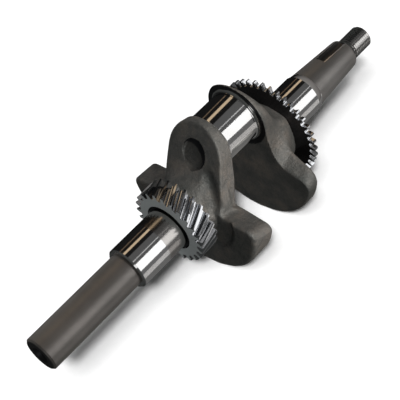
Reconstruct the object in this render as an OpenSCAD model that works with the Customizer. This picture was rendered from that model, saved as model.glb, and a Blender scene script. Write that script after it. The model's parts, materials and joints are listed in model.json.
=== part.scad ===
// Crankshaft of a small single-cylinder engine: one steel forging, divided here into its
// machined and as-forged regions, and two pressed-on gears.
//
// Frame: the X axis is the main axis and points from the drive (PTO) end to the flywheel end,
// and Z points from the main axis to the crankpin. The origin is on the main axis, halfway
// along the drive-side bearing seat.

/* [Drive end] */
// Diameter of the PTO shaft
pto_d = 20; // [16:0.5:22]
// Length of the PTO shaft, from its end face to the bearing shoulder
pto_len = 62; // [50:1:75]
// Chamfer at the end of the PTO shaft
pto_chamfer = 1; // [0.5:0.25:2]
// Core diameter of the tapped hole in the end face (M8)
tap_core_d = 6.8; // [5:0.1:8.5]
// Depth of the tapped hole
tap_depth = 24; // [15:1:35]
// Mouth diameter of the tapped hole's countersink
tap_mouth_d = 10.4; // [9:0.2:12]

/* [Main journals] */
// Diameter of both main journals
journal_d = 25; // [23:0.5:27]
// Length of the polished bearing seat on the drive side
seat_len = 20; // [15:1:26]
// Length of the ground land between the bearing seat and the timing gear
land_len = 12.6; // [6:0.2:18]
// Length of the flywheel-side journal
rear_journal_len = 28; // [20:1:34]
// Chamfer on the journals' outer shoulders
journal_chamfer = 0.8; // [0.4:0.1:1.2]

/* [Crankpin] */
// Diameter of the crankpin
pin_d = 30; // [26:0.5:32]
// Distance from the main axis to the crankpin axis (half the stroke)
throw_r = 27; // [24:0.5:28]
// Length of the crankpin, from cheek to cheek
pin_len = 22.6; // [18:0.2:26]
// Radius of the fillet at each end of the crankpin
pin_fillet = 1.6; // [0.8:0.2:2]

/* [Webs] */
// Radius of the drive-side web's rounded end around the crankpin
drive_lobe_r = 18; // [17:0.1:20]
// Radius of the flywheel-side web's rounded end around the crankpin
flywheel_lobe_r = 18.6; // [17:0.1:20]
// Half width of the web where it crosses the main axis
waist_half_w = 20.5; // [18.5:0.5:22]
// Slope of the drive-side web's outer face, from square to the main axis
drive_slope = 23; // [20:1:28]
// Slope of the flywheel-side web's outer face
flywheel_slope = 17; // [8:1:18]
// Thickness of the drive-side web at the crankpin axis
front_web_t = 12.2; // [10:0.2:13]
// Thickness of the flywheel-side web at the crankpin axis
rear_web_t = 8.8; // [8:0.2:12]
// How far that web's foot stands proud of its counterweight, towards the governor gear
rear_foot_t = 3.4; // [1:0.2:5]
// Diameter of the lightening recess over the crankpin
recess_d = 15.6; // [10:0.2:18]
// Depth of the lightening recess
recess_depth = 4.5; // [2:0.5:6]

/* [Counterweights] */
// Outer radius of the counterweights
fan_r = 44.3; // [40:0.1:46]
// Height of the counterweights' shoulders, where they leave the web
fan_top_z = -1.5; // [-4:0.5:0]
// How far the shoulders have dropped at the outer radius
fan_droop = 4; // [1:0.5:6]
// Thickness of the drive-side counterweight
front_fan_t = 16; // [12:0.5:18]
// Thickness of the flywheel-side counterweight
rear_fan_t = 10.4; // [8:0.2:14]
// Chamfer around the counterweights' outer edges
fan_chamfer = 2; // [1:0.25:3]
// Radius of the tool relief turned around the timing gear's hub
relief_r = 28.4; // [26:0.2:32]
// Depth of that relief
relief_depth = 2.2; // [1:0.1:3]

/* [Timing gear] */
// Number of teeth of the timing gear
timing_teeth = 24; // [18:1:28]
// Outside diameter of the timing gear
timing_od = 46; // [42:0.5:50]
// Face width of the timing gear
timing_w = 12.4; // [8:0.2:16]
// Helix angle of the timing gear, left hand
timing_helix = 26; // [10:1:30]
// Angle from +Y to the first tooth, at the timing gear's drive-side face
timing_first_tooth = 6.2; // [0:0.1:15]
// Diameter of the seat that the timing gear is pressed on
timing_seat_d = 28.6; // [27:0.2:30]
// Diameter of the forged hub behind it, at the gear
drive_hub_d = 33; // [30:0.5:36]
// Diameter of that hub where it reaches the counterweight
drive_hub_root_d = 38; // [34:0.5:39]

/* [Governor drive gear] */
// Number of teeth of the governor drive gear
governor_teeth = 39; // [34:1:44]
// Outside diameter of the governor drive gear
governor_od = 63.8; // [58:0.1:68]
// Face width of the governor drive gear
governor_w = 2.8; // [2:0.2:6]
// Diameter of the seat that the governor drive gear is pressed on
governor_seat_d = 30; // [28:0.5:32]
// Diameter of the forged hub in front of it
flywheel_hub_d = 34; // [32:0.5:36]

/* [Flywheel end] */
// Length of the cone that steps down from the journal to the taper
step_len = 3.6; // [2:0.2:5]
// Large diameter of the flywheel taper
taper_big_d = 23.2; // [21:0.2:24]
// Small diameter of the flywheel taper
taper_small_d = 18.6; // [17:0.2:19.5]
// Length of the flywheel taper
taper_len = 37; // [32:1:42]
// Width of the keyway
key_w = 5; // [3:0.5:6]
// Length of the keyway, from the small end of the taper
key_len = 21; // [14:1:26]
// Depth of the keyway below the small end's surface
key_depth = 2.5; // [1.5:0.25:3.5]
// Nominal diameter of the flywheel nut's thread
thread_d = 14; // [12:1:16]
// Pitch of that thread
thread_pitch = 1.5; // [1:0.25:2]
// Length of the threaded end
thread_len = 17.6; // [12:0.2:24]

/* [Hidden] */
$fn = 96;

// Lengths of the forged hubs between each gear and its web
drive_hub_len = 5;
flywheel_hub_len = 7.5;
// How far each web's cheek stands inboard of its counterweight's inner face
drive_cheek_lead = 8.3;
flywheel_cheek_lag = 1;
// Heights at which the drive-side cheek and the flywheel-side cheek begin
drive_cheek_z = 20;
flywheel_cheek_z = 10;
flywheel_step_z = 6;
// Height down to which the webs keep their full waist
waist_z = 6;
// The keyway cutter and the other cuts run this far past the surface
overrun = 1;
// Chamfer at the taper's small end
taper_chamfer = 2;
// Undercut before the thread, and the point after it
thread_relief = 1.5;
thread_point = 1.6;
thread_point_len = 1.2;
// Wall left between the drive hub and the turned relief around it
relief_wall = 0.5;

// Half a tooth, from its root to its tip: the place across it as a share of the pitch,
// and the depth below the tip in modules
HALF_TOOTH = [[-0.30, 2.25], [-0.24, 1.9], [-0.17, 1], [-0.085, 0]];
// One ridge of the thread: the place along it and the depth, as shares of a pitch and a groove
RIDGE = [[0.35, 0], [0.5, 0], [1, 1]];
// Depth of the thread's groove, as a share of its pitch
groove_share = 0.61;

// Stations along the main axis
x_shoulder = -seat_len / 2;
x_pto_end = x_shoulder - pto_len;
x_land = seat_len / 2;
x_timing = x_land + land_len;
x_timing_end = x_timing + timing_w;
x_drive_fan = x_timing_end + drive_hub_len;
x_drive_fan_end = x_drive_fan + front_fan_t;
x_drive_cheek = x_drive_fan_end + drive_cheek_lead;
x_flywheel_cheek = x_drive_cheek + pin_len;
x_flywheel_fan = x_flywheel_cheek - flywheel_cheek_lag;
x_flywheel_fan_end = x_flywheel_fan + rear_fan_t;
x_flywheel_foot = x_flywheel_fan_end + rear_foot_t;
x_governor = x_flywheel_foot + flywheel_hub_len;
x_rear_journal = x_governor + governor_w;
x_step = x_rear_journal + rear_journal_len;
x_taper = x_step + step_len;
x_thread = x_taper + taper_len;
x_end = x_thread + thread_len;

// A solid of revolution about the main axis, from [x, radius] pairs
module turned(profile) {
    rotate([0, 90, 0]) rotate_extrude() polygon([
        [0, profile[0][0]],
        for (p = profile) [p[1], p[0]],
        [0, profile[len(profile) - 1][0]]
    ]);
}

// A cylinder along X from station x0 to x1
module bar(x0, x1, d) {
    translate([x0, 0, 0]) rotate([0, 90, 0]) cylinder(h = x1 - x0, d = d);
}

// An outline in the Y-Z plane, given as children, extruded from station x0 to x1
module across(x0, x1) {
    translate([x0, 0, 0]) rotate([90, 0, 90]) linear_extrude(height = x1 - x0) children();
}

// A profile in the X-Z plane, given as children, extruded to both sides of it
module along_y(width) {
    rotate([90, 0, 0]) linear_extrude(height = width, center = true) children();
}

// Outline of one web, from the crankpin lobe down past the waist
module web_outline(lobe_r) {
    z_low = fan_top_z - overrun;
    translate([0, throw_r]) circle(r = lobe_r);
    polygon([
        [-lobe_r, throw_r], [-waist_half_w, waist_z], [-waist_half_w, z_low],
        [waist_half_w, z_low], [waist_half_w, waist_z], [lobe_r, throw_r]
    ]);
}

// Outline of one counterweight, a fan below the main axis
module fan_outline(r) {
    intersection() {
        circle(r = r);
        polygon([
            [-waist_half_w, fan_top_z], [waist_half_w, fan_top_z],
            [fan_r, fan_top_z - fan_droop], [2 * fan_r, -2 * fan_r],
            [-2 * fan_r, -2 * fan_r], [-fan_r, fan_top_z - fan_droop]
        ]);
    }
}

// The fan with its outer edges chamfered by a turning cut
module fan(x0, x1) {
    intersection() {
        across(x0 - overrun, x1 + overrun) fan_outline(fan_r + overrun);
        turned([
            [x0, fan_r - fan_chamfer], [x0 + fan_chamfer, fan_r],
            [x1 - fan_chamfer, fan_r], [x1, fan_r - fan_chamfer]
        ]);
    }
}

// Module of a gear, from its outside diameter
function gear_module(od, teeth, helix) = od / (teeth / cos(helix) + 2);

// Outline of a ring of teeth
function tooth_points(od, teeth, m) = [
    for (i = [0:teeth - 1], side = [-1, 1], k = [0:len(HALF_TOOTH) - 1])
        let (
            p = HALF_TOOTH[side < 0 ? k : len(HALF_TOOTH) - 1 - k],
            r = od / 2 - p[1] * m,
            angle = 360 * (i - side * p[0]) / teeth
        )
        [r * cos(angle), r * sin(angle)]
];

module pto_shaft() {
    color("#7d766f") difference() {
        turned([
            [x_pto_end, pto_d / 2 - pto_chamfer], [x_pto_end + pto_chamfer, pto_d / 2],
            [x_shoulder, pto_d / 2]
        ]);
        bar(x_pto_end - overrun, x_pto_end + tap_depth, tap_core_d);
        turned([
            [x_pto_end - overrun, tap_mouth_d / 2 + overrun],
            [x_pto_end + (tap_mouth_d - tap_core_d) / 2, tap_core_d / 2]
        ]);
    }
}

module drive_main_journal() {
    color("#c9cacd") turned([
        [x_shoulder, journal_d / 2 - journal_chamfer], [x_shoulder + journal_chamfer, journal_d / 2],
        [x_land, journal_d / 2]
    ]);
}

module drive_seal_land() {
    color("#8f8a85") turned([
        [x_land, journal_d / 2], [x_timing - journal_chamfer, journal_d / 2],
        [x_timing, journal_d / 2 - journal_chamfer]
    ]);
}

module timing_gear_seat() {
    color("#3f3c3a") bar(x_timing, x_timing_end, timing_seat_d);
}

module timing_gear() {
    m = gear_module(timing_od, timing_teeth, timing_helix);
    twist_angle = 360 * timing_w * tan(timing_helix) / (PI * (timing_od - 2 * m));
    color("#b4b8bf") difference() {
        translate([x_timing, 0, 0]) rotate([90, 0, 90]) rotate(timing_first_tooth)
            linear_extrude(height = timing_w, twist = twist_angle, slices = 6)
                polygon(tooth_points(timing_od, timing_teeth, m));
        bar(x_timing - overrun, x_timing_end + overrun, timing_seat_d);
    }
}

// The drive-side web: its outer face slopes away from the timing gear up to the lobe,
// and a forged hub runs from it to the gear
module drive_web() {
    slope = tan(drive_slope);
    x_pin_face = x_drive_cheek - front_web_t;
    z_foot = throw_r - (x_pin_face - x_drive_fan) / slope;
    above = 2 * drive_lobe_r;
    color("#6b655e") difference() {
        union() {
            turned([[x_timing_end, drive_hub_d / 2], [x_drive_fan, drive_hub_root_d / 2]]);
            intersection() {
                across(x_drive_fan - overrun, x_drive_cheek + overrun) web_outline(drive_lobe_r);
                along_y(2 * fan_r) polygon([
                    [x_drive_fan, fan_top_z], [x_drive_fan, max(z_foot, fan_top_z)],
                    [x_pin_face + above * slope, throw_r + above],
                    [x_drive_cheek + above * slope, throw_r + above],
                    [x_drive_cheek, throw_r + drive_lobe_r], [x_drive_cheek, drive_cheek_z],
                    [x_drive_fan_end, fan_top_z]
                ]);
            }
            intersection() {
                bar(x_drive_fan, x_drive_fan_end - overrun, drive_hub_root_d);
                translate([x_drive_fan - overrun, -fan_r, fan_top_z])
                    cube([front_fan_t, 2 * fan_r, fan_r]);
            }
        }
        translate([0, 0, throw_r])
            bar(x_drive_fan, x_pin_face + recess_depth, recess_d);
    }
}

module drive_counterweight() {
    color("#5f5a54") difference() {
        fan(x_drive_fan, x_drive_fan_end);
        difference() {
            bar(x_drive_fan - overrun, x_drive_fan + relief_depth, 2 * relief_r);
            bar(x_drive_fan - 2 * overrun, x_drive_fan_end, drive_hub_root_d + 2 * relief_wall);
        }
    }
}

// The crankpin, with a fillet where it meets each cheek
module crankpin() {
    steps = [0:15:90];
    r = pin_d / 2;
    color("#c9cacd") translate([0, 0, throw_r]) turned(concat(
        [for (a = steps) [x_drive_cheek + pin_fillet * (1 - cos(a)), r + pin_fillet * (1 - sin(a))]],
        [for (a = steps) [x_flywheel_cheek - pin_fillet * (1 - sin(a)), r + pin_fillet * (1 - cos(a))]]
    ));
}

// The flywheel-side web, whose outer face slopes the other way, with the hub behind it
module flywheel_web() {
    slope = tan(flywheel_slope);
    x_pin_face = x_flywheel_cheek + rear_web_t;
    z_foot = throw_r - (x_flywheel_foot - x_pin_face) / slope;
    above = flywheel_lobe_r + overrun;
    color("#6b655e") union() {
        bar(x_flywheel_fan_end, x_governor, flywheel_hub_d);
        intersection() {
            across(x_flywheel_fan - overrun, x_flywheel_foot + overrun) web_outline(flywheel_lobe_r);
            along_y(2 * fan_r) polygon([
                [x_flywheel_fan, fan_top_z], [x_flywheel_fan, flywheel_step_z],
                [x_flywheel_cheek, flywheel_cheek_z], [x_flywheel_cheek, throw_r + above],
                [x_pin_face - above * slope, throw_r + above],
                [x_flywheel_foot, max(z_foot, flywheel_step_z)], [x_flywheel_foot, fan_top_z]
            ]);
        }
    }
}

module flywheel_counterweight() {
    color("#5f5a54") fan(x_flywheel_fan, x_flywheel_fan_end);
}

module governor_gear_seat() {
    color("#3f3c3a") bar(x_governor, x_rear_journal, governor_seat_d);
}

module governor_gear() {
    m = gear_module(governor_od, governor_teeth, 0);
    color("#9a9da3") difference() {
        across(x_governor, x_rear_journal) polygon(tooth_points(governor_od, governor_teeth, m));
        bar(x_governor - overrun, x_rear_journal + overrun, governor_seat_d);
    }
}

module flywheel_main_journal() {
    color("#c9cacd") turned([
        [x_rear_journal, journal_d / 2], [x_step - journal_chamfer, journal_d / 2],
        [x_step, journal_d / 2 - journal_chamfer], [x_taper, taper_big_d / 2]
    ]);
}

// The taper that carries the flywheel, with a straight keyway open at its small end
module flywheel_taper() {
    color("#8a847e") difference() {
        turned([
            [x_taper, taper_big_d / 2], [x_thread - taper_chamfer, taper_small_d / 2],
            [x_thread, taper_small_d / 2 - taper_chamfer]
        ]);
        translate([x_thread - key_len, -key_w / 2, taper_small_d / 2 - key_depth])
            cube([key_len + overrun, key_w, taper_big_d]);
    }
}

// The threaded end, with its thread drawn as plain grooves one pitch apart
module flywheel_thread() {
    r = thread_d / 2;
    groove = groove_share * thread_pitch;
    x_first = x_thread + thread_relief;
    turns = floor((thread_len - thread_relief - thread_point_len) / thread_pitch) - 1;
    color("#55504b") turned(concat(
        [[x_thread, r - groove], [x_first, r - groove]],
        [for (i = [0:turns - 1], p = RIDGE)
            [x_first + (i + p[0]) * thread_pitch, r - p[1] * groove]],
        [[x_end - thread_point_len, r - groove / 2], [x_end, r - thread_point]]
    ));
}

pto_shaft();
drive_main_journal();
drive_seal_land();
timing_gear_seat();
timing_gear();
drive_web();
drive_counterweight();
crankpin();
flywheel_web();
flywheel_counterweight();
governor_gear_seat();
governor_gear();
flywheel_main_journal();
flywheel_taper();
flywheel_thread();
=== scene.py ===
"""Looks of a small-engine crankshaft: a steel forging with machined journals, and two gears.

Lengths are in millimetres up to the point where a mesh is made, which turns them into metres.
The camera and the lights are placed in metres. The main axis is X, and the crankpin is above it
along +Z.
"""
import json
import math

import bpy
import numpy as np
from mathutils import Matrix, Vector


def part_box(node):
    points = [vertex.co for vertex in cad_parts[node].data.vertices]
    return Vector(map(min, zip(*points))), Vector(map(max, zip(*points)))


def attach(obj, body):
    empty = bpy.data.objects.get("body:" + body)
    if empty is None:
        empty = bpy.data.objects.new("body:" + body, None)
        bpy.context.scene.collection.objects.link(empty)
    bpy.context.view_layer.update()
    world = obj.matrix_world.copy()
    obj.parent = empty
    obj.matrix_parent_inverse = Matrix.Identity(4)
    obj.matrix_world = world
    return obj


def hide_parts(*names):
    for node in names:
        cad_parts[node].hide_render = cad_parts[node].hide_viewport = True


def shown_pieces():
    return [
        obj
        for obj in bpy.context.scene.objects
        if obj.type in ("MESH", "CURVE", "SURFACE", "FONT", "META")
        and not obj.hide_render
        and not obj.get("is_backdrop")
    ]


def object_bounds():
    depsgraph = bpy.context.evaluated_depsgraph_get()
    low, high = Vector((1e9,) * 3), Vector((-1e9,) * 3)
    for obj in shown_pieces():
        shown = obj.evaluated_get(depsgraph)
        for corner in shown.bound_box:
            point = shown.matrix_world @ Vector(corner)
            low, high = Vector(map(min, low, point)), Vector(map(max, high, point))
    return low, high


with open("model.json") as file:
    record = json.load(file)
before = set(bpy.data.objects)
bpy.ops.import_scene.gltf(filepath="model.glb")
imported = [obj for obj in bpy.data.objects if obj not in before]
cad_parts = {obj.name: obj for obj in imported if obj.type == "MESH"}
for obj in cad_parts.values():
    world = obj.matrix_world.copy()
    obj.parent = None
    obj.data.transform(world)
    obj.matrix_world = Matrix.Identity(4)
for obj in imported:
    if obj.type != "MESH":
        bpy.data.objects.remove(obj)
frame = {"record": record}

CAD_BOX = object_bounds()
MM = 0.001
TAU = 2 * math.pi


# ---------------------------------------------------------------- sizes from the frame

# A fan is a web's counterweight, and a cheek is a web's flat face at the crankpin.

def span(node):
    """First station, last station and outer radius of a turned CAD node, in millimetres."""
    low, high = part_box(node)
    return low.x / MM, high.x / MM, high.y / MM


X_END, X_SHOULDER, PTO_R = span("pto_shaft")
_, X_LAND, JOURNAL_R = span("drive_main_journal")
_, X_TIMING, _ = span("drive_seal_land")
_, X_TIMING_END, TIMING_SEAT_R = span("timing_gear_seat")
X_FAN, X_FAN_END, FAN_R = span("drive_counterweight")
X_CHEEK, X_CHEEK2, _ = span("crankpin")
X_FAN2, X_FAN2_END, _ = span("flywheel_counterweight")
X_GOVERNOR, X_JOURNAL2, GOVERNOR_SEAT_R = span("governor_gear_seat")
_, X_TAPER, _ = span("flywheel_main_journal")
_, X_THREAD, TAPER_R = span("flywheel_taper")
_, X_TIP, THREAD_R = span("flywheel_thread")
TIMING_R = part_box("timing_gear")[1].z / MM
GOVERNOR_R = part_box("governor_gear")[1].z / MM
FLOOR_Z = CAD_BOX[0].z

MOUNTS = {m["name"]: m for m in frame["record"]["mounts"]}
THROW = MOUNTS["crankpin"]["pos_m"][2] / MM
PIN_R = MOUNTS["crankpin"]["dims"]["r_mm"]
TAP_R = MOUNTS["pto_tapped_hole"]["dims"]["r_mm"]

# What the frame doesn't give: the recess in the drive web, the taper, its keyway and the thread,
# and how far each pressed-on gear overlaps its seat.
PTO_CHAMFER = 0.9
CHEEK_R = 19.6
RECESS_R, RECESS_Z = 7.9, THROW + 0.8
TAPER_SMALL_R, TAPER_NOSE = 9.3, 2.0
KEY_W, KEY_LEN, KEY_DEPTH = 5.0, 21.0, 2.5
THREAD_PITCH = 1.5
PRESS = 0.02


# ---------------------------------------------------------------- mesh tools

def mesh_object(name, verts, faces, sharp=35):
    """An object from vertices in millimetres, smooth except at edges sharper than the angle."""
    mesh = bpy.data.meshes.new(name)
    mesh.from_pydata((np.asarray(verts, float) * MM).tolist(), [], [list(f) for f in faces])
    mesh.validate()
    mesh.shade_smooth()
    mesh.set_sharp_from_angle(angle=math.radians(sharp))
    piece = bpy.data.objects.new(name, mesh)
    bpy.context.scene.collection.objects.link(piece)
    return piece


def lathe(name, profile, centre_z=0.0, segments=224, sharp=25):
    """A solid of revolution about X, from (station, radius) points; radius 0 closes an end."""
    verts, rings = [], []
    turn = np.arange(segments) * TAU / segments
    for x, r in profile:
        start = len(verts)
        if r == 0:
            verts.append((x, 0, centre_z))
            rings.append([start] * segments)
        else:
            verts += [(x, r * math.sin(t), centre_z + r * math.cos(t)) for t in turn]
            rings.append(list(range(start, start + segments)))
    faces = []
    for a, b in zip(rings, rings[1:]):
        for i in range(segments):
            j = (i + 1) % segments
            quad = [a[i], b[i], b[j], a[j]]
            faces.append([v for k, v in enumerate(quad) if v not in quad[:k]])
    return mesh_object(name, verts, faces, sharp)


def arc(x, r, radius, start, end, steps=6):
    """Profile points on an arc about (x, r), with angles in degrees from +X towards +r."""
    return [
        (x + radius * math.cos(math.radians(a)), r + radius * math.sin(math.radians(a)))
        for a in np.linspace(start, end, steps + 1)
    ]


# ---------------------------------------------------------------- distance fields

def round_and(a, b, r):
    """Intersection of two fields, with the edge between them rounded to radius r."""
    u = np.maximum(a + r, 0)
    v = np.maximum(b + r, 0)
    return np.minimum(np.maximum(a, b), -r) + np.sqrt(u * u + v * v)


def round_or(a, b, r):
    """Union of two fields, with a fillet of radius r between them."""
    u = np.maximum(r - a, 0)
    v = np.maximum(r - b, 0)
    return np.maximum(np.minimum(a, b), r) - np.sqrt(u * u + v * v)


def carve(a, b, r):
    """Field a less field b, with the rim rounded to radius r."""
    return round_and(a, -b, r)


def waviness(x, y, z, amplitude=0.05):
    """Slow unevenness of a forged skin, from a few sine waves in fixed directions."""
    random = np.random.default_rng(11)
    total = 0
    for _ in range(14):
        direction = random.normal(size=3)
        direction *= TAU / (np.linalg.norm(direction) * random.uniform(7, 22))
        phase = random.uniform(0, TAU)
        total = total + np.sin(x * direction[0] + y * direction[1] + z * direction[2] + phase)
    return amplitude * total / 3


def skin(field, low, high, step):
    """Vertices and quads of the surface where the field is zero, from a grid of that step."""
    axes = [np.arange(a, b + step, step) for a, b in zip(low, high)]
    value = field(*np.meshgrid(*axes, indexing="ij"))
    solid = value < 0
    n = [len(a) - 1 for a in axes]
    count = sum(
        solid[i:n[0] + i, j:n[1] + j, k:n[2] + k].astype(np.int8)
        for i in (0, 1) for j in (0, 1) for k in (0, 1)
    )
    mixed = (count > 0) & (count < 8)
    index = np.full(mixed.shape, -1)
    index[mixed] = np.arange(mixed.sum())
    cells = np.argwhere(mixed)
    verts = np.array(low) + (cells + 0.5) * step

    quads = []
    for axis in range(3):
        first, second = [(1, 2), (2, 0), (0, 1)][axis]
        here = np.take(solid, range(0, n[axis]), axis)
        there = np.take(solid, range(1, n[axis] + 1), axis)
        edges = np.argwhere(here != there)
        keep = (edges[:, first] > 0) & (edges[:, second] > 0)
        keep &= (edges[:, first] < n[first]) & (edges[:, second] < n[second])
        edges = edges[keep]
        around = []
        for da, db in ((-1, -1), (0, -1), (0, 0), (-1, 0)):
            cell = edges.copy()
            cell[:, first] += da
            cell[:, second] += db
            around.append(index[tuple(cell.T)])
        quad = np.stack(around, 1)
        outward = here[tuple(edges.T)]
        quad[~outward] = quad[~outward][:, ::-1]
        quads.append(quad)
    quads = np.concatenate(quads)

    for _ in range(3):
        verts = settle(field, verts)
        verts = relax(verts, quads)
    return settle(field, settle(field, verts)), quads


def settle(field, verts, probe=0.05):
    """Vertices moved along the field's slope onto its surface."""
    x, y, z = verts.T
    slope = np.stack([
        field(x + probe, y, z) - field(x - probe, y, z),
        field(x, y + probe, z) - field(x, y - probe, z),
        field(x, y, z + probe) - field(x, y, z - probe),
    ], 1) / (2 * probe)
    push = field(x, y, z) / np.maximum((slope ** 2).sum(1), 0.2)
    return verts - slope * np.clip(push, -1, 1)[:, None]


def relax(verts, quads):
    """Vertices moved halfway to the mean of the quads around them."""
    middles = verts[quads].mean(1)
    number = np.bincount(quads.ravel(), minlength=len(verts))
    mean = np.stack([
        np.bincount(quads.ravel(), np.repeat(middles[:, i], 4), len(verts)) for i in range(3)
    ], 1) / np.maximum(number, 1)[:, None]
    return (verts + mean) / 2


# ---------------------------------------------------------------- the forging

def lobe(y, z, radius, centre):
    """Outline of a web: round over the crankpin, straight flanks below it."""
    side = np.abs(y)
    up = z - centre
    return np.where(up > 0, np.hypot(side, up), side) - radius


def tapered_rod(x, y, z, start, start_r, end, end_r):
    """Field of a round-ended rod between two points, of a different radius at each."""
    along = np.subtract(end, start)
    share = (x - start[0]) * along[0] + (y - start[1]) * along[1] + (z - start[2]) * along[2]
    share = np.clip(share / (along @ along), 0, 1)
    offsets = [c - a - share * d for c, a, d in zip((x, y, z), start, along)]
    return np.sqrt(sum(o * o for o in offsets)) - start_r - (end_r - start_r) * share


def sloped(distance, rise, slope):
    """Field of a plane that leans by slope: distance at rise 0, less as rise grows."""
    return (distance - rise * math.tan(slope)) * math.cos(slope)


def drive_forging(x, y, z):
    """Field of the drive-side web with its counterweight and hub."""
    radius = np.hypot(y, z)

    face_x, face_slope = 52.0, math.radians(23)
    foot, undercut_z, undercut_slope = 6, 20, math.radians(21)
    lobe_x, lobe_r, lobe_draft = 50, 19.0, 0.2
    outer = sloped(face_x - x, THROW - z, face_slope)
    cheek = x - X_CHEEK
    undercut = sloped(cheek, z - undercut_z, undercut_slope)
    outline = lobe(y, z, lobe_r - lobe_draft * (x - lobe_x), THROW + 0.5)
    web = round_and(outline, np.maximum(outer, X_FAN - x), r=1.3)
    web = round_and(web, round_and(cheek, undercut, r=6), r=0.8)
    web = np.maximum(web, -z - foot)

    rim_gap, top_z, drop, near_drop = 0.7, 1.3, 4.6, 0.17
    depth = (x - X_FAN) / (X_FAN_END - X_FAN)
    nearness = np.clip(-y - 21, -20, 25)
    top = z - top_z + depth * (drop + near_drop * nearness)
    fan = round_and(radius - FAN_R + rim_gap, top, r=5.0)
    fan = round_and(fan, np.maximum(X_FAN - x, x - X_FAN_END), r=2.2)
    body = round_or(web, fan, r=2.2)

    hub_r, hub_flare, hub_reach = 15.8, 0.22, 10
    hub = (radius - hub_r - hub_flare * (x - X_TIMING_END)) * 0.97
    hub = np.maximum(hub, np.maximum(X_TIMING_END - x, x - X_FAN - hub_reach))
    body = round_or(body, hub, r=4.5)

    valley_top, valley_foot = (48.5, -11.0, 20.0), (41.5, -17.0, 7.0)
    body = carve(body, tapered_rod(x, y, z, valley_top, 1.5, valley_foot, 3.8), r=4.0)
    relief_r, relief_hub_r, relief_depth = 28.0, 17.5, 1.2
    relief = round_and(radius - relief_r, z - 1, r=3.0)
    relief = round_and(relief, x - X_FAN - relief_depth, r=1.2)
    body = carve(body, np.maximum(relief, relief_hub_r - radius), r=2.5)

    recess_depth, recess_slope = 3.2, 0.36
    across = (z - RECESS_Z) * 0.77 - y * 0.64
    floor = (outer + recess_depth + recess_slope * across) * 0.93
    recess = round_and(np.hypot(y, z - RECESS_Z) - RECESS_R, -floor, r=0.8)
    return carve(body, recess, r=0.35) + waviness(x, y, z)


def flywheel_forging(x, y, z):
    """Field of the flywheel-side web with its counterweight and hub."""
    side = np.abs(y)
    radius = np.hypot(y, z)

    web_t, face_slope, face_curve = 8.8, math.radians(20), 0.027
    foot, lobe_r, lobe_draft, hub_gap = 6, 19.5, 0.22, 1.5
    swell = face_curve * np.maximum(THROW - z, 0) ** 2
    outer = sloped(x - X_CHEEK2 - web_t - swell, THROW - z, face_slope)
    outline = lobe(y, z, lobe_r - lobe_draft * (x - X_CHEEK2), THROW)
    web = round_and(outline, np.maximum(outer, x - X_GOVERNOR + hub_gap), r=2.8)
    web = round_and(web, X_CHEEK2 - x, r=0.6)
    web = np.maximum(web, -z - foot)

    rim_gap, top_z, drop, outward_drop = 0.5, 3.0, 4.0, 0.35
    back_x, back_slope = 1.5, 0.12
    depth = (X_FAN2_END - x) / (X_FAN2_END - X_FAN2)
    top = (z - top_z + depth * drop + (side - 25) * outward_drop) * 0.93
    fan = round_and(radius - FAN_R + rim_gap, top, r=7.0)
    back = (x - X_FAN2_END - back_x + back_slope * (side - 20)) * 0.99
    fan = round_and(fan, np.maximum(X_FAN2 - x, back), r=2.6)
    body = round_or(web, fan, r=8.0)

    hub_r, hub_start = 16.2, X_FAN2 + 3
    hub = np.maximum(radius - hub_r, np.maximum(x - X_GOVERNOR, hub_start - x))
    body = round_or(body, hub, r=11.0)
    body = np.maximum(body, np.maximum(x - X_GOVERNOR, X_CHEEK2 - x))
    return body + waviness(x + 50, y, z)


# ---------------------------------------------------------------- gears and threads

def tooth_ring(teeth, tip_r, module, half_tooth):
    """Angles (in pitches) and radii round one gear, from half a tooth's (share, depth) points."""
    share, radius = [], []
    for i in range(teeth):
        for side, half in ((-1, half_tooth[:0:-1]), (1, half_tooth[:-1])):
            for place, depth in half:
                share.append(i + side * place)
                radius.append(tip_r - depth * module)
    return np.array(share) / teeth * TAU, np.array(radius)


def gear(name, teeth, tip_r, bore_r, module, x0, x1, first, twist, half_tooth, chamfer, slices):
    """A gear of helical or straight teeth on X, its tips and tooth ends slightly chamfered."""
    angle, radius = tooth_ring(teeth, tip_r, module, half_tooth)
    count = len(angle)
    stations = [(x0, chamfer)] + [
        (x, 0) for x in np.linspace(x0 + chamfer, x1 - chamfer, slices)
    ] + [(x1, chamfer)]
    verts = []
    for x, cut in stations:
        turned = angle + first + twist * (x - x0) / (x1 - x0)
        r = np.minimum(radius, tip_r - cut)
        verts += list(zip(np.full(count, x), r * np.cos(turned), r * np.sin(turned)))
    faces = []
    for s in range(len(stations) - 1):
        for i in range(count):
            j = (i + 1) % count
            faces.append((s * count + i, s * count + j, (s + 1) * count + j, (s + 1) * count + i))
    root = radius.min()
    for x, near, flip in ((x0, 0, False), (x1, (len(stations) - 1) * count, True)):
        turned = angle + first + twist * (x - x0) / (x1 - x0)
        previous = near
        for r in (root - 0.5, bore_r):
            start = len(verts)
            verts += [(x, r * math.cos(t), r * math.sin(t)) for t in turned]
            for i in range(count):
                j = (i + 1) % count
                quad = (previous + i, start + i, start + j, previous + j)
                faces.append(quad[::-1] if flip else quad)
            previous = start
    return mesh_object(name, verts, faces, sharp=28)


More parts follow.
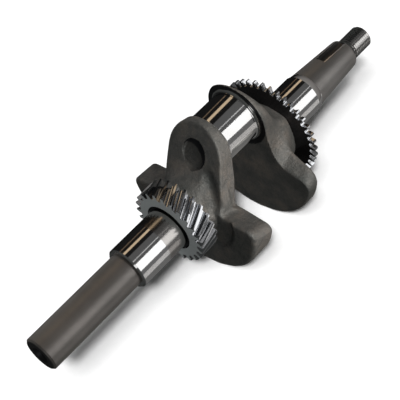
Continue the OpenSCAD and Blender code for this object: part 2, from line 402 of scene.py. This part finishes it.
def threaded(name, x0, x1, major_r, pitch, relief, point, segments=96, per_pitch=12):
    """A right-hand screw thread on X as one surface, with a plain relief and a bevelled point.

    Its crests are flat and wider than a standard thread's, so that they show from a distance.
    """
    groove, steepness, point_slope = 0.61 * pitch, 1.4, 1.3
    stations = np.arange(x0, x1, pitch / per_pitch)
    stations = np.append(stations, x1)
    turn = np.arange(segments) * TAU / segments
    x, t = np.meshgrid(stations, turn, indexing="ij")
    share = (x / pitch - t / TAU) % 1
    ridge = np.clip((1 - 2 * np.abs(share - 0.5)) * steepness, 0, 1)
    depth = groove * (1 - ridge)
    fade = np.clip((x - x0 - relief) / pitch, 0, 1)
    r = major_r - groove * (1 - fade) - depth * fade
    bevel = major_r + 0.2 - (x - (x1 - point)) * point_slope
    r = np.minimum(r, np.maximum(bevel, 2))
    verts = np.stack([x, r * np.sin(t), r * np.cos(t)], -1).reshape(-1, 3)
    faces = []
    rows = len(stations)
    for i in range(rows - 1):
        for j in range(segments):
            k = (j + 1) % segments
            faces.append((i * segments + j, (i + 1) * segments + j,
                          (i + 1) * segments + k, i * segments + k))
    verts = list(map(tuple, verts)) + [(x1, 0, 0)]
    last = (rows - 1) * segments
    for j in range(segments):
        faces.append((last + j, rows * segments, last + (j + 1) % segments))
    return mesh_object(name, verts, faces, sharp=20)


# ---------------------------------------------------------------- materials

def shader(name, color, metallic, roughness):
    """A material with one Principled shader, and its parts."""
    material = bpy.data.materials.new(name)
    material.use_nodes = True
    nodes, links = material.node_tree.nodes, material.node_tree.links
    surface = nodes["Principled BSDF"]
    surface.inputs["Base Color"].default_value = (*color, 1)
    surface.inputs["Metallic"].default_value = metallic
    surface.inputs["Roughness"].default_value = roughness
    return material, nodes, links, surface


def noise(nodes, links, scale, stretch=(1, 1, 1), detail=4, roughness=0.55):
    """Noise over the object's own coordinates in metres, scale being features per metre."""
    place = nodes.new("ShaderNodeTexCoord")
    squeeze = nodes.new("ShaderNodeVectorMath")
    squeeze.operation = "MULTIPLY"
    squeeze.inputs[1].default_value = stretch
    texture = nodes.new("ShaderNodeTexNoise")
    texture.inputs["Scale"].default_value = scale
    texture.inputs["Detail"].default_value = detail
    texture.inputs["Roughness"].default_value = roughness
    links.new(place.outputs["Object"], squeeze.inputs[0])
    links.new(squeeze.outputs[0], texture.inputs["Vector"])
    return texture.outputs["Fac"]


def ramp(nodes, links, source, stops):
    """A colour ramp driven by source, from (place, colour) stops."""
    node = nodes.new("ShaderNodeValToRGB")
    elements = node.color_ramp.elements
    elements[0].position, elements[0].color = stops[0][0], (*stops[0][1], 1)
    elements[1].position, elements[1].color = stops[-1][0], (*stops[-1][1], 1)
    for place, color in stops[1:-1]:
        element = elements.new(place)
        element.color = (*color, 1)
    links.new(source, node.inputs[0])
    return node.outputs[0]


def spread(nodes, links, source, low, high):
    """Source, mostly between 0.3 and 0.7, spread over low to high."""
    node = nodes.new("ShaderNodeMapRange")
    node.inputs["From Min"].default_value = 0.3
    node.inputs["From Max"].default_value = 0.7
    node.inputs["To Min"].default_value = low
    node.inputs["To Max"].default_value = high
    links.new(source, node.inputs[0])
    return node.outputs[0]


def bump(nodes, links, surface, layers):
    """Bump layers of (height, distance in metres, strength), the last one outermost."""
    previous = None
    for height, distance, strength in layers:
        node = nodes.new("ShaderNodeBump")
        node.inputs["Distance"].default_value = distance
        node.inputs["Strength"].default_value = strength
        links.new(height, node.inputs["Height"])
        if previous:
            links.new(previous, node.inputs["Normal"])
        previous = node.outputs[0]
    links.new(previous, surface.inputs["Normal"])


def forged_skin(name, shade):
    """Shot-blasted, lightly oiled forging scale: dark grey, with brown drifts and coarse grit.

    Shade scales its colours: below 1 it makes a darker copy that paints shade into a hollow.
    """
    material, nodes, links, surface = shader(name, (0.1, 0.1, 0.1), 0.3, 0.5)
    drift = noise(nodes, links, 70, detail=8, roughness=0.7)
    links.new(ramp(nodes, links, drift, [
        (place, tuple(shade * level for level in color)) for place, color in (
            (0.33, (0.050, 0.053, 0.051)), (0.50, (0.086, 0.084, 0.080)),
            (0.67, (0.134, 0.118, 0.104)))
    ]), surface.inputs["Base Color"])
    grain = noise(nodes, links, 700, detail=6)
    links.new(spread(nodes, links, grain, 0.40, 0.62), surface.inputs["Roughness"])
    bump(nodes, links, surface, [
        (noise(nodes, links, 180, detail=3), 0.0008, 0.5),
        (noise(nodes, links, 620, detail=5, roughness=0.65), 0.0008, 0.7),
    ])
    return material


def turned_steel(name, low, high, rough, ring_strength=0.15, metallic=1.0, across=2200):
    """Machined steel whose fine tool or grinding marks run round the X axis."""
    material, nodes, links, surface = shader(name, high, metallic, rough[0])
    drift = noise(nodes, links, 45, detail=4)
    links.new(ramp(nodes, links, drift, [(0.35, low), (0.65, high)]), surface.inputs["Base Color"])
    rings = noise(nodes, links, 1, stretch=(across, 30, 30), detail=3)
    links.new(spread(nodes, links, rings, rough[0], rough[1]), surface.inputs["Roughness"])
    bump(nodes, links, surface, [(rings, 0.00002, ring_strength)])
    return material


# ---------------------------------------------------------------- pieces

def finish(piece, main, *others):
    """Gives a piece its main finish, and others where their test(centre, normal) holds."""
    piece.data.materials.clear()
    for material in (main, *(material for material, _ in others)):
        piece.data.materials.append(material)
    for face in piece.data.polygons:
        face.material_index = 0
        for index, (_, test) in enumerate(others, 1):
            if test(face.center / MM, face.normal):
                face.material_index = index
    return piece


def end_face(centre, normal):
    """Faces square to the main axis."""
    return abs(normal.x) > 0.9


def cheek_face(centre, normal):
    """The machined annulus round the crankpin on each cheek, which is painted near-black as shade."""
    between = X_CHEEK - 0.4 < centre.x < X_CHEEK2 + 0.4
    return between and abs(normal.x) > 0.7 and math.hypot(centre.y, centre.z - THROW) < CHEEK_R


def recess_floor(centre, normal):
    """The round recess in the drive web."""
    return math.hypot(centre.y, centre.z - RECESS_Z) < RECESS_R + 0.1 and centre.x < X_CHEEK - 3


def recess_painted_shadow(centre, normal):
    """The deep side of the recess, painted near-black as the shadow that its rim casts: outside a
    circle over its shallow side.
    """
    shallow_y, shallow_z, shallow_r = 7.4, RECESS_Z - 8.9, 12.0
    from_shallow = math.hypot(centre.y - shallow_y, centre.z - shallow_z)
    return recess_floor(centre, normal) and from_shallow > shallow_r


def shaft_end(centre, normal):
    """The output shaft's end face, countersink and hole, which are painted near-black as shade."""
    return math.hypot(centre.y, centre.z) < PTO_R - PTO_CHAMFER - 0.05 and centre.x < X_SHOULDER - 1


def keyway_face(centre, normal):
    """The floor and walls of the keyway, which get darker steel as painted shade."""
    return abs(centre.y) < KEY_W / 2 + 0.01 and 0 < centre.z < taper_radius(centre.x) - 0.5


def keyway_edge(centre, normal):
    """The bevel along each side of the keyway, in bright steel that paints its highlight."""
    along = X_THREAD - KEY_LEN < centre.x < X_THREAD - 2 and centre.z > 0
    return along and KEY_W / 2 + 0.02 < abs(centre.y) < KEY_W / 2 + 0.7


def dress(piece, slot, *nodes):
    """Puts a piece under the root body and hides the CAD nodes it stands for; slot is not used."""
    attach(piece, "root")
    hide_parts(*nodes)
    return piece


def forging(name, field, low, high, step=0.55):
    """A forged piece from its field, on a grid of that step between two corners."""
    verts, quads = skin(field, low, high, step)
    return mesh_object(name, verts, quads, sharp=60)


def pto_shaft():
    """The output shaft, with a bevelled end, a countersink and the tapped hole's wall."""
    sink_r, neck, neck_len = 5.2, 0.25, 0.6
    bottom = X_END + 24
    return lathe("pto_shaft_turned", [
        (bottom + TAP_R * 0.6, 0), (bottom, TAP_R), (X_END + sink_r - TAP_R, TAP_R),
        (X_END, sink_r), (X_END, PTO_R - PTO_CHAMFER), (X_END + PTO_CHAMFER, PTO_R),
        (X_SHOULDER - neck_len - 0.3, PTO_R), (X_SHOULDER - neck_len, PTO_R - neck),
        (X_SHOULDER, PTO_R - neck),
    ])


def drive_journal():
    """The polished seat, from its bevelled shoulder to where the grinding finish changes."""
    bevel = 0.8
    return lathe("drive_journal_polished", [
        (X_SHOULDER, PTO_R - 0.6), (X_SHOULDER, JOURNAL_R - bevel),
        (X_SHOULDER + bevel, JOURNAL_R), (X_LAND, JOURNAL_R), (X_LAND, JOURNAL_R - 2),
    ])


def seal_land():
    """The ground land that the seal runs on, bevelled towards the timing gear."""
    bevel = 0.8
    return lathe("drive_seal_land_ground", [
        (X_LAND, JOURNAL_R - 2), (X_LAND, JOURNAL_R), (X_TIMING - bevel, JOURNAL_R),
        (X_TIMING, JOURNAL_R - bevel), (X_TIMING, JOURNAL_R - 3),
    ])


def timing_seat():
    """The timing gear's seat, whose bevelled end shows as a dark ring inside the gear's face; its
    near-black steel paints that ring's shade.
    """
    bevel = 0.7
    return lathe("timing_gear_seat_turned", [
        (X_TIMING, JOURNAL_R - 3), (X_TIMING, TIMING_SEAT_R - bevel),
        (X_TIMING + bevel, TIMING_SEAT_R), (X_TIMING_END, TIMING_SEAT_R),
        (X_TIMING_END, TIMING_SEAT_R - 3),
    ])


def crankpin():
    """The polished pin, with a ground fillet up to each cheek, the drive side's half as large."""
    fillet, inside = 1.6, 1
    small = fillet / 2
    left = arc(X_CHEEK + small, PIN_R + small, small, 180, 270)
    right = arc(X_CHEEK2 - fillet, PIN_R + fillet, fillet, -90, 0)
    ends = [(X_CHEEK - inside, PIN_R + small)], [(X_CHEEK2 + inside, PIN_R + fillet)]
    return lathe("crankpin_polished", ends[0] + left + right + ends[1], centre_z=THROW)


def governor_seat():
    """The governor gear's seat, bevelled where it meets the journal."""
    bevel = 0.4
    return lathe("governor_gear_seat_turned", [
        (X_GOVERNOR, GOVERNOR_SEAT_R - 2), (X_GOVERNOR, GOVERNOR_SEAT_R),
        (X_JOURNAL2 - bevel, GOVERNOR_SEAT_R), (X_JOURNAL2, GOVERNOR_SEAT_R - bevel),
        (X_JOURNAL2, JOURNAL_R - 1),
    ])


def flywheel_journal():
    """The polished flywheel-side journal and the bright cone that steps down to the taper."""
    step, bevel = 3.6, 0.5
    x_step = X_TAPER - step
    return lathe("flywheel_journal_polished", [
        (X_JOURNAL2, JOURNAL_R - 2), (X_JOURNAL2, JOURNAL_R), (x_step - bevel, JOURNAL_R),
        (x_step, JOURNAL_R - 0.3), (X_TAPER, TAPER_R), (X_TAPER, TAPER_R - 2),
    ])


def taper_radius(x):
    """Radius of the flywheel taper at a station."""
    return TAPER_R + (TAPER_SMALL_R - TAPER_R) * (x - X_TAPER) / (X_THREAD - TAPER_NOSE - X_TAPER)


def keyway_cutter():
    """A prism that cuts the keyway's slot, with a shallow bevel along each rim, later given bright
    steel as a painted highlight.
    """
    bevel, fall, clear = 0.09, 0.16, 3.0
    half, floor = KEY_W / 2, TAPER_SMALL_R - KEY_DEPTH
    corners = []
    for x in (X_THREAD - KEY_LEN, X_THREAD + clear):
        rim = math.sqrt(taper_radius(x) ** 2 - half ** 2)
        outer_rim = rim - bevel - fall * clear
        corners += [(x, y, z) for y, z in (
            (-half, floor), (half, floor), (half, rim - bevel), (half + clear, outer_rim),
            (half + clear, rim + clear), (-half - clear, rim + clear),
            (-half - clear, outer_rim), (-half, rim - bevel),
        )]
    count = len(corners) // 2
    sides = [(i, (i + 1) % count, (i + 1) % count + count, i + count) for i in range(count)]
    ends = [tuple(range(count))[::-1], tuple(range(count, 2 * count))]
    return mesh_object("keyway_cutter", corners, sides + ends)


def flywheel_taper():
    """The taper with its rounded nose, and the keyway cut into it with crisp edges."""
    nose = arc(X_THREAD - TAPER_NOSE, TAPER_SMALL_R - TAPER_NOSE, TAPER_NOSE, 90, 20, steps=5)
    piece = lathe("flywheel_taper_ground", [
        (X_TAPER, 0), (X_TAPER, TAPER_R), (X_THREAD - KEY_LEN, taper_radius(X_THREAD - KEY_LEN)),
        (X_THREAD - TAPER_NOSE, TAPER_SMALL_R), *nose, (X_THREAD, 0),
    ])
    cutter = keyway_cutter()
    cut = piece.modifiers.new("keyway", "BOOLEAN")
    cut.operation = "DIFFERENCE"
    cut.object = cutter
    cut.solver = "EXACT"
    bake_modifiers(piece)
    bpy.data.objects.remove(cutter)
    return piece


def flywheel_thread():
    """The threaded end that the flywheel nut goes on."""
    return threaded("flywheel_thread_rolled", X_THREAD, X_TIP, THREAD_R, THREAD_PITCH,
                    relief=1.2, point=1.2)


def bake_modifiers(piece):
    """Turns a piece's modifiers into plain mesh."""
    graph = bpy.context.evaluated_depsgraph_get()
    mesh = bpy.data.meshes.new_from_object(piece.evaluated_get(graph))
    piece.modifiers.clear()
    piece.data = mesh
    mesh.set_sharp_from_angle(angle=math.radians(25))


# Half a tooth, from the middle of its tip to the middle of its root: the place across it as a
# share of the pitch, and the depth below the tip in modules.
HOBBED_TOOTH = [
    (0.00, 0.00), (0.085, 0.00), (0.110, 0.15), (0.150, 0.60), (0.185, 1.05),
    (0.220, 1.50), (0.250, 1.90), (0.290, 2.15), (0.350, 2.25), (0.500, 2.27),
]


def timing_gear():
    """The left-hand helical timing gear."""
    teeth, helix, first = 24, math.radians(26), math.radians(6.2)
    module = TIMING_R / (teeth / math.cos(helix) / 2 + 1)
    width = X_TIMING_END - X_TIMING
    twist = -width * math.tan(helix) / (TIMING_R - module)
    return gear("timing_gear_hobbed", teeth, TIMING_R, TIMING_SEAT_R - PRESS, module, X_TIMING,
                X_TIMING_END, first, twist, HOBBED_TOOTH, chamfer=0.25, slices=12)


def governor_gear():
    """The thin spur gear that drives the governor."""
    teeth = 39
    module = GOVERNOR_R / (teeth / 2 + 1)
    return gear("governor_gear_hobbed", teeth, GOVERNOR_R, GOVERNOR_SEAT_R - PRESS, module,
                X_GOVERNOR, X_JOURNAL2, first=0, twist=0, half_tooth=HOBBED_TOOTH, chamfer=0.3,
                slices=3)


def steels():
    """The machined finishes by name: from two colours, roughness low and high, and marks."""
    made = {
        name: turned_steel(name, low, high, rough, marks, metallic)
        for name, low, high, rough, marks, metallic in (
            ("polished_journal", (0.74, 0.73, 0.72), (0.82, 0.82, 0.82), (0.06, 0.10), 0.02, 1.0),
            ("seal_land_steel", (0.42, 0.40, 0.385), (0.52, 0.50, 0.48), (0.17, 0.26), 0.08, 1.0),
            ("ground_steel", (0.27, 0.252, 0.236), (0.33, 0.305, 0.285), (0.36, 0.46), 0.15, 0.6),
            ("taper_steel", (0.29, 0.275, 0.262), (0.36, 0.345, 0.33), (0.38, 0.48), 0.2, 0.6),
            ("timing_gear_steel", (0.60, 0.61, 0.63), (0.70, 0.71, 0.73), (0.08, 0.15), 0.05, 1.0),
            ("timing_gear_face_steel", (0.56, 0.60, 0.60), (0.66, 0.70, 0.70), (0.40, 0.50), 0.1, 0.5),
            ("governor_tooth_steel", (0.62, 0.63, 0.65), (0.72, 0.73, 0.75), (0.14, 0.24), 0.1, 1.0),
            # Near-black steel that paints shade: on the cheek annuli, the gear seats, the recess's deep
            # side and the output shaft's end.
            ("seat_steel", (0.05, 0.05, 0.055), (0.08, 0.08, 0.085), (0.30, 0.40), 0.1, 1.0),
            ("governor_gear_steel", (0.045, 0.045, 0.050), (0.07, 0.07, 0.075), (0.20, 0.30), 0.1, 1.0),
            # Darker steel that paints the shade inside the keyway.
            ("keyway_steel", (0.15, 0.145, 0.14), (0.19, 0.18, 0.175), (0.34, 0.44), 0.1, 0.6),
        )
    }
    made["thread_steel"] = turned_steel(
        "thread_steel", (0.60, 0.59, 0.58), (0.72, 0.71, 0.70), (0.10, 0.16), 0.05, across=600)
    return made


def build():
    """Every piece: the two forged webs, and then the rest from the drive end on."""
    steel = steels()
    polished, dark, hobbed = (
        steel[name] for name in ("polished_journal", "seat_steel", "governor_tooth_steel"))
    forged = forged_skin("forged_skin", 1.0)
    # A darker copy of the forged skin that paints the shade on the recess floor.
    recess = forged_skin("recess_skin", 0.55)

    reach = FAN_R + 2
    web = forging("drive_web_forged", drive_forging,
                  (X_TIMING_END - 1.5, -reach, -reach), (X_CHEEK + 2, reach, reach + 1))
    # Painted shade: near-black steel on the cheek annulus and the recess's deep side, and a darker copy
    # of the skin on the recess floor.
    finish(web, forged, (dark, cheek_face), (recess, recess_floor), (dark, recess_painted_shadow))
    dress(web, "forged_skin", "drive_web", "drive_counterweight")
    web = forging("flywheel_web_forged", flywheel_forging,
                  (X_CHEEK2 - 3, -reach, -reach), (X_GOVERNOR + 1.5, reach, reach + 1))
    # Painted shade: near-black steel on the cheek annulus.
    finish(web, forged, (dark, cheek_face))
    dress(web, "forged_skin", "flywheel_web", "flywheel_counterweight")

    for piece, slot, node, *finishes in (
        # The shaft's end gets near-black steel as painted shade.
        (pto_shaft(), "ground_steel", "pto_shaft", steel["ground_steel"], (dark, shaft_end)),
        (drive_journal(), "polished_journal", "drive_main_journal", polished),
        (seal_land(), "seal_land_steel", "drive_seal_land", steel["seal_land_steel"]),
        # The seat gets near-black steel as painted shade.
        (timing_seat(), "forged_skin", "timing_gear_seat", dark),
        (timing_gear(), "timing_gear_steel", "timing_gear", steel["timing_gear_steel"],
         (steel["timing_gear_face_steel"], end_face)),
        (crankpin(), "polished_journal", "crankpin", polished),
        # The seat gets near-black steel as painted shade.
        (governor_seat(), "forged_skin", "governor_gear_seat", dark),
        (governor_gear(), "governor_gear_steel", "governor_gear", hobbed,
         (steel["governor_gear_steel"], end_face)),
        (flywheel_journal(), "polished_journal", "flywheel_main_journal", polished),
        # The keyway gets darker steel as painted shade, and its bevels bright steel as a painted
        # highlight.
        (flywheel_taper(), "ground_steel", "flywheel_taper", steel["taper_steel"],
         (steel["keyway_steel"], keyway_face), (hobbed, keyway_edge)),
        (flywheel_thread(), "thread_steel", "flywheel_thread", steel["thread_steel"]),
    ):
        finish(piece, *finishes)
        dress(piece, slot, node)


# ---------------------------------------------------------------- stage, lights and camera

CAMERA_AIM = Vector((0.04737, 0, -0.00212))
CAMERA_DISTANCE = 0.57224
CAMERA_AZIMUTH = math.radians(-36.109)
CAMERA_ELEVATION = math.radians(44.409)
CAMERA_ROLL = math.radians(17.861)
CAMERA_LENS = 96.964

LIT_POINT = Vector((0.05, 0, 0.005))
UPPER_LEFT = Vector((0, 0.771, 0.637))

TO_CAMERA = Vector((
    math.sin(CAMERA_AZIMUTH) * math.cos(CAMERA_ELEVATION),
    -math.cos(CAMERA_AZIMUTH) * math.cos(CAMERA_ELEVATION),
    math.sin(CAMERA_ELEVATION),
))


def place_camera():
    """The camera at the photograph's viewing angle."""
    data = bpy.data.cameras.new("camera")
    data.lens = CAMERA_LENS
    data.sensor_width = 36
    data.clip_start, data.clip_end = 0.01, 20
    camera = bpy.data.objects.new("camera", data)
    level = TO_CAMERA.to_track_quat("Z", "Y").to_matrix().to_4x4()
    turn = Matrix.Rotation(-CAMERA_ROLL, 4, "Z")
    camera.matrix_world = Matrix.Translation(CAMERA_AIM + TO_CAMERA * CAMERA_DISTANCE) @ level @ turn
    bpy.context.scene.collection.objects.link(camera)
    bpy.context.scene.camera = camera


def strip(name, tilt, spread_angle, radiance, color, distance=0.9, length=1.1, lean=32):
    """A strip light along X that looks spread_angle wide from the main axis, in degrees.

    Tilt is the angle from +Z towards -Y, and lean the angle towards +X.
    """
    width = 2 * distance * math.tan(math.radians(spread_angle / 2))
    data = bpy.data.lights.new(name, "AREA")
    data.shape = "RECTANGLE"
    data.size, data.size_y = length, width
    data.energy = radiance * math.pi * length * width
    data.color = color
    light = bpy.data.objects.new(name, data)
    tilt, lean = math.radians(tilt), math.radians(lean)
    normal = Vector((0, -math.sin(tilt), math.cos(tilt)))
    along = Vector((1, 0, 0))
    place = LIT_POINT + normal * distance + along * distance * math.tan(lean)
    turn = Matrix((along, normal.cross(along), normal)).transposed().to_4x4()
    light.matrix_world = Matrix.Translation(place) @ turn
    bpy.context.scene.collection.objects.link(light)
    return light


def group(name, pieces):
    """A collection of pieces that a light shines on, or that cast its shadows."""
    collection = bpy.data.collections.new(name)
    for piece in pieces:
        collection.objects.link(piece)
    return collection


def studio_world():
    """A dark studio for the metal to mirror, lighter towards both ends, and a pale backdrop."""
    world = bpy.data.worlds.new("studio")
    bpy.context.scene.world = world
    world.use_nodes = True
    nodes, links = world.node_tree.nodes, world.node_tree.links
    nodes.clear()
    place = nodes.new("ShaderNodeTexCoord")
    facing = nodes.new("ShaderNodeSeparateXYZ")
    links.new(place.outputs["Generated"], facing.inputs[0])
    level = nodes.new("ShaderNodeMapRange")
    level.inputs["From Min"].default_value = -1
    level.inputs["From Max"].default_value = 1
    links.new(facing.outputs["X"], level.inputs[0])
    around = nodes.new("ShaderNodeBackground")
    links.new(ramp(nodes, links, level.outputs[0], [
        (0.00, (0.065, 0.068, 0.066)), (0.30, (0.045, 0.047, 0.046)), (0.55, (0.012, 0.012, 0.012)),
        (0.84, (0.008, 0.008, 0.008)), (0.92, (0.200, 0.190, 0.182)), (1.00, (0.260, 0.250, 0.240)),
    ]), around.inputs[0])
    path = nodes.new("ShaderNodeLightPath")
    seen = nodes.new("ShaderNodeBackground")
    seen.inputs[0].default_value = (0.97, 0.97, 0.97, 1)
    blend = nodes.new("ShaderNodeMixShader")
    output = nodes.new("ShaderNodeOutputWorld")
    links.new(path.outputs["Is Camera Ray"], blend.inputs[0])
    links.new(around.outputs[0], blend.inputs[1])
    links.new(seen.outputs[0], blend.inputs[2])
    links.new(blend.outputs[0], output.inputs[0])


def lay_floor():
    """A pale paper floor, which the metal neither mirrors nor is lit by."""
    half = 4000
    floor = mesh_object("floor", [(-half, -half, 0), (half, -half, 0), (half, half, 0),
                                  (-half, half, 0)], [(0, 1, 2, 3)])
    floor.location.z = FLOOR_Z
    floor.visible_glossy = False
    floor.visible_diffuse = False
    material, nodes, links, surface = shader("pale_floor", (0.9, 0.9, 0.9), 0.0, 0.9)
    paper = noise(nodes, links, 300, detail=3)
    links.new(ramp(nodes, links, paper, [(0.3, (0.89, 0.89, 0.89)), (0.7, (0.91, 0.91, 0.91))]),
              surface.inputs["Base Color"])
    surface.inputs["Specular IOR Level"].default_value = 0.1
    floor.data.materials.append(material)
    floor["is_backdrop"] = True
    return floor


WHITE, PALE_GREEN = (1.0, 1.0, 1.0), (0.98, 1.0, 0.97)
IVORY, SHELL, CREAM, PEACH = (1.0, 0.99, 0.97), (1.0, 0.97, 0.95), (1.0, 0.94, 0.88), (1.0, 0.90, 0.82)
AMBER, DEEP_AMBER = (1.0, 0.76, 0.50), (1.0, 0.68, 0.42)


def light_metal():
    """Strip lights, each for one group of pieces, and shaded by one group of pieces."""
    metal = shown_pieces()
    forged = [piece for piece in metal if piece.name.endswith("_forged")]
    machined = [piece for piece in metal if piece not in forged]
    smooth = [piece for piece in machined if "thread" not in piece.name]
    everything, forgings, turned, journals = (
        group(name, pieces) for name, pieces in (
            ("metal", metal), ("forged", forged), ("machined", machined), ("journals", smooth)))
    drive_web, timing, shaft = (
        group(name, [piece for piece in metal if piece.name == name + suffix])
        for name, suffix in (
            ("drive_web", "_forged"), ("timing_gear", "_hobbed"), ("pto_shaft", "_turned"))
    )
    not_mirrored = ("gear_front", "back_fill")
    for light, receivers, blockers in (
        (strip("key", 74, 41, 1.3, WHITE), turned, everything),
        (strip("line", 36.5, 3.5, 0.5, WHITE), turned, everything),
        (strip("amber", -21.5, 12, 0.62, AMBER), journals, everything),
        (strip("amber_thin", -48, 4, 0.18, DEEP_AMBER), journals, everything),
        (strip("overhead", 30, 50, 0.09, WHITE), turned, everything),
        (strip("bounce", 131, 27, 0.36, SHELL), turned, turned),
        (strip("side_glow", 107, 26, 0.14, WHITE), turned, everything),
        (strip("low_glow", 165, 90, 0.135, IVORY), turned, turned),
        (strip("forging_key", 66, 40, 4.1, CREAM, lean=36), forgings, forgings),
        (strip("drive_side", 118, 30, 3.0, CREAM, lean=20), drive_web, forgings),
        (strip("gear_front", 48, 22, 8.0, WHITE, length=0.6, lean=-25), timing, timing),
        (strip("back_fill", -75, 60, 2.2, WHITE, lean=0), everything, everything),
        (strip("shaft_top", 5, 60, 0.16, PEACH), shaft, everything),
        (strip("forging_top", 12, 14, 7.5, CREAM, length=0.4, lean=26), forgings, forgings),
        (strip("forging_front", 62, 22, 11.0, PALE_GREEN, length=0.6, lean=-12), forgings, forgings),
        (strip("glint", 74, 34, 0.9, WHITE, length=1.6, lean=-62), turned, turned),
    ):
        light.visible_glossy = light.name not in not_mirrored
        light.light_linking.receiver_collection = receivers
        light.light_linking.blocker_collection = blockers


def light_paper(floor):
    """Suns for the floor alone, from near the camera, so that the object hides most shadow."""
    paper_only = group("paper", [floor])
    for name, energy, angle, offset in (
        ("paper_sun", 2.7, 8, 7), ("paper_soft_sun", 1.9, 22, 18), ("paper_sky", 0.25, 120, 0),
    ):
        data = bpy.data.lights.new(name, "SUN")
        data.energy = energy
        data.angle = math.radians(angle)
        sun = bpy.data.objects.new(name, data)
        direction = (TO_CAMERA + UPPER_LEFT * math.tan(math.radians(offset))).normalized()
        sun.matrix_world = direction.to_track_quat("Z", "Y").to_matrix().to_4x4()
        bpy.context.scene.collection.objects.link(sun)
        sun.light_linking.receiver_collection = paper_only


build()
paper_floor = lay_floor()
light_metal()
light_paper(paper_floor)
studio_world()
place_camera()
bpy.context.scene.view_settings.view_transform = "Standard"
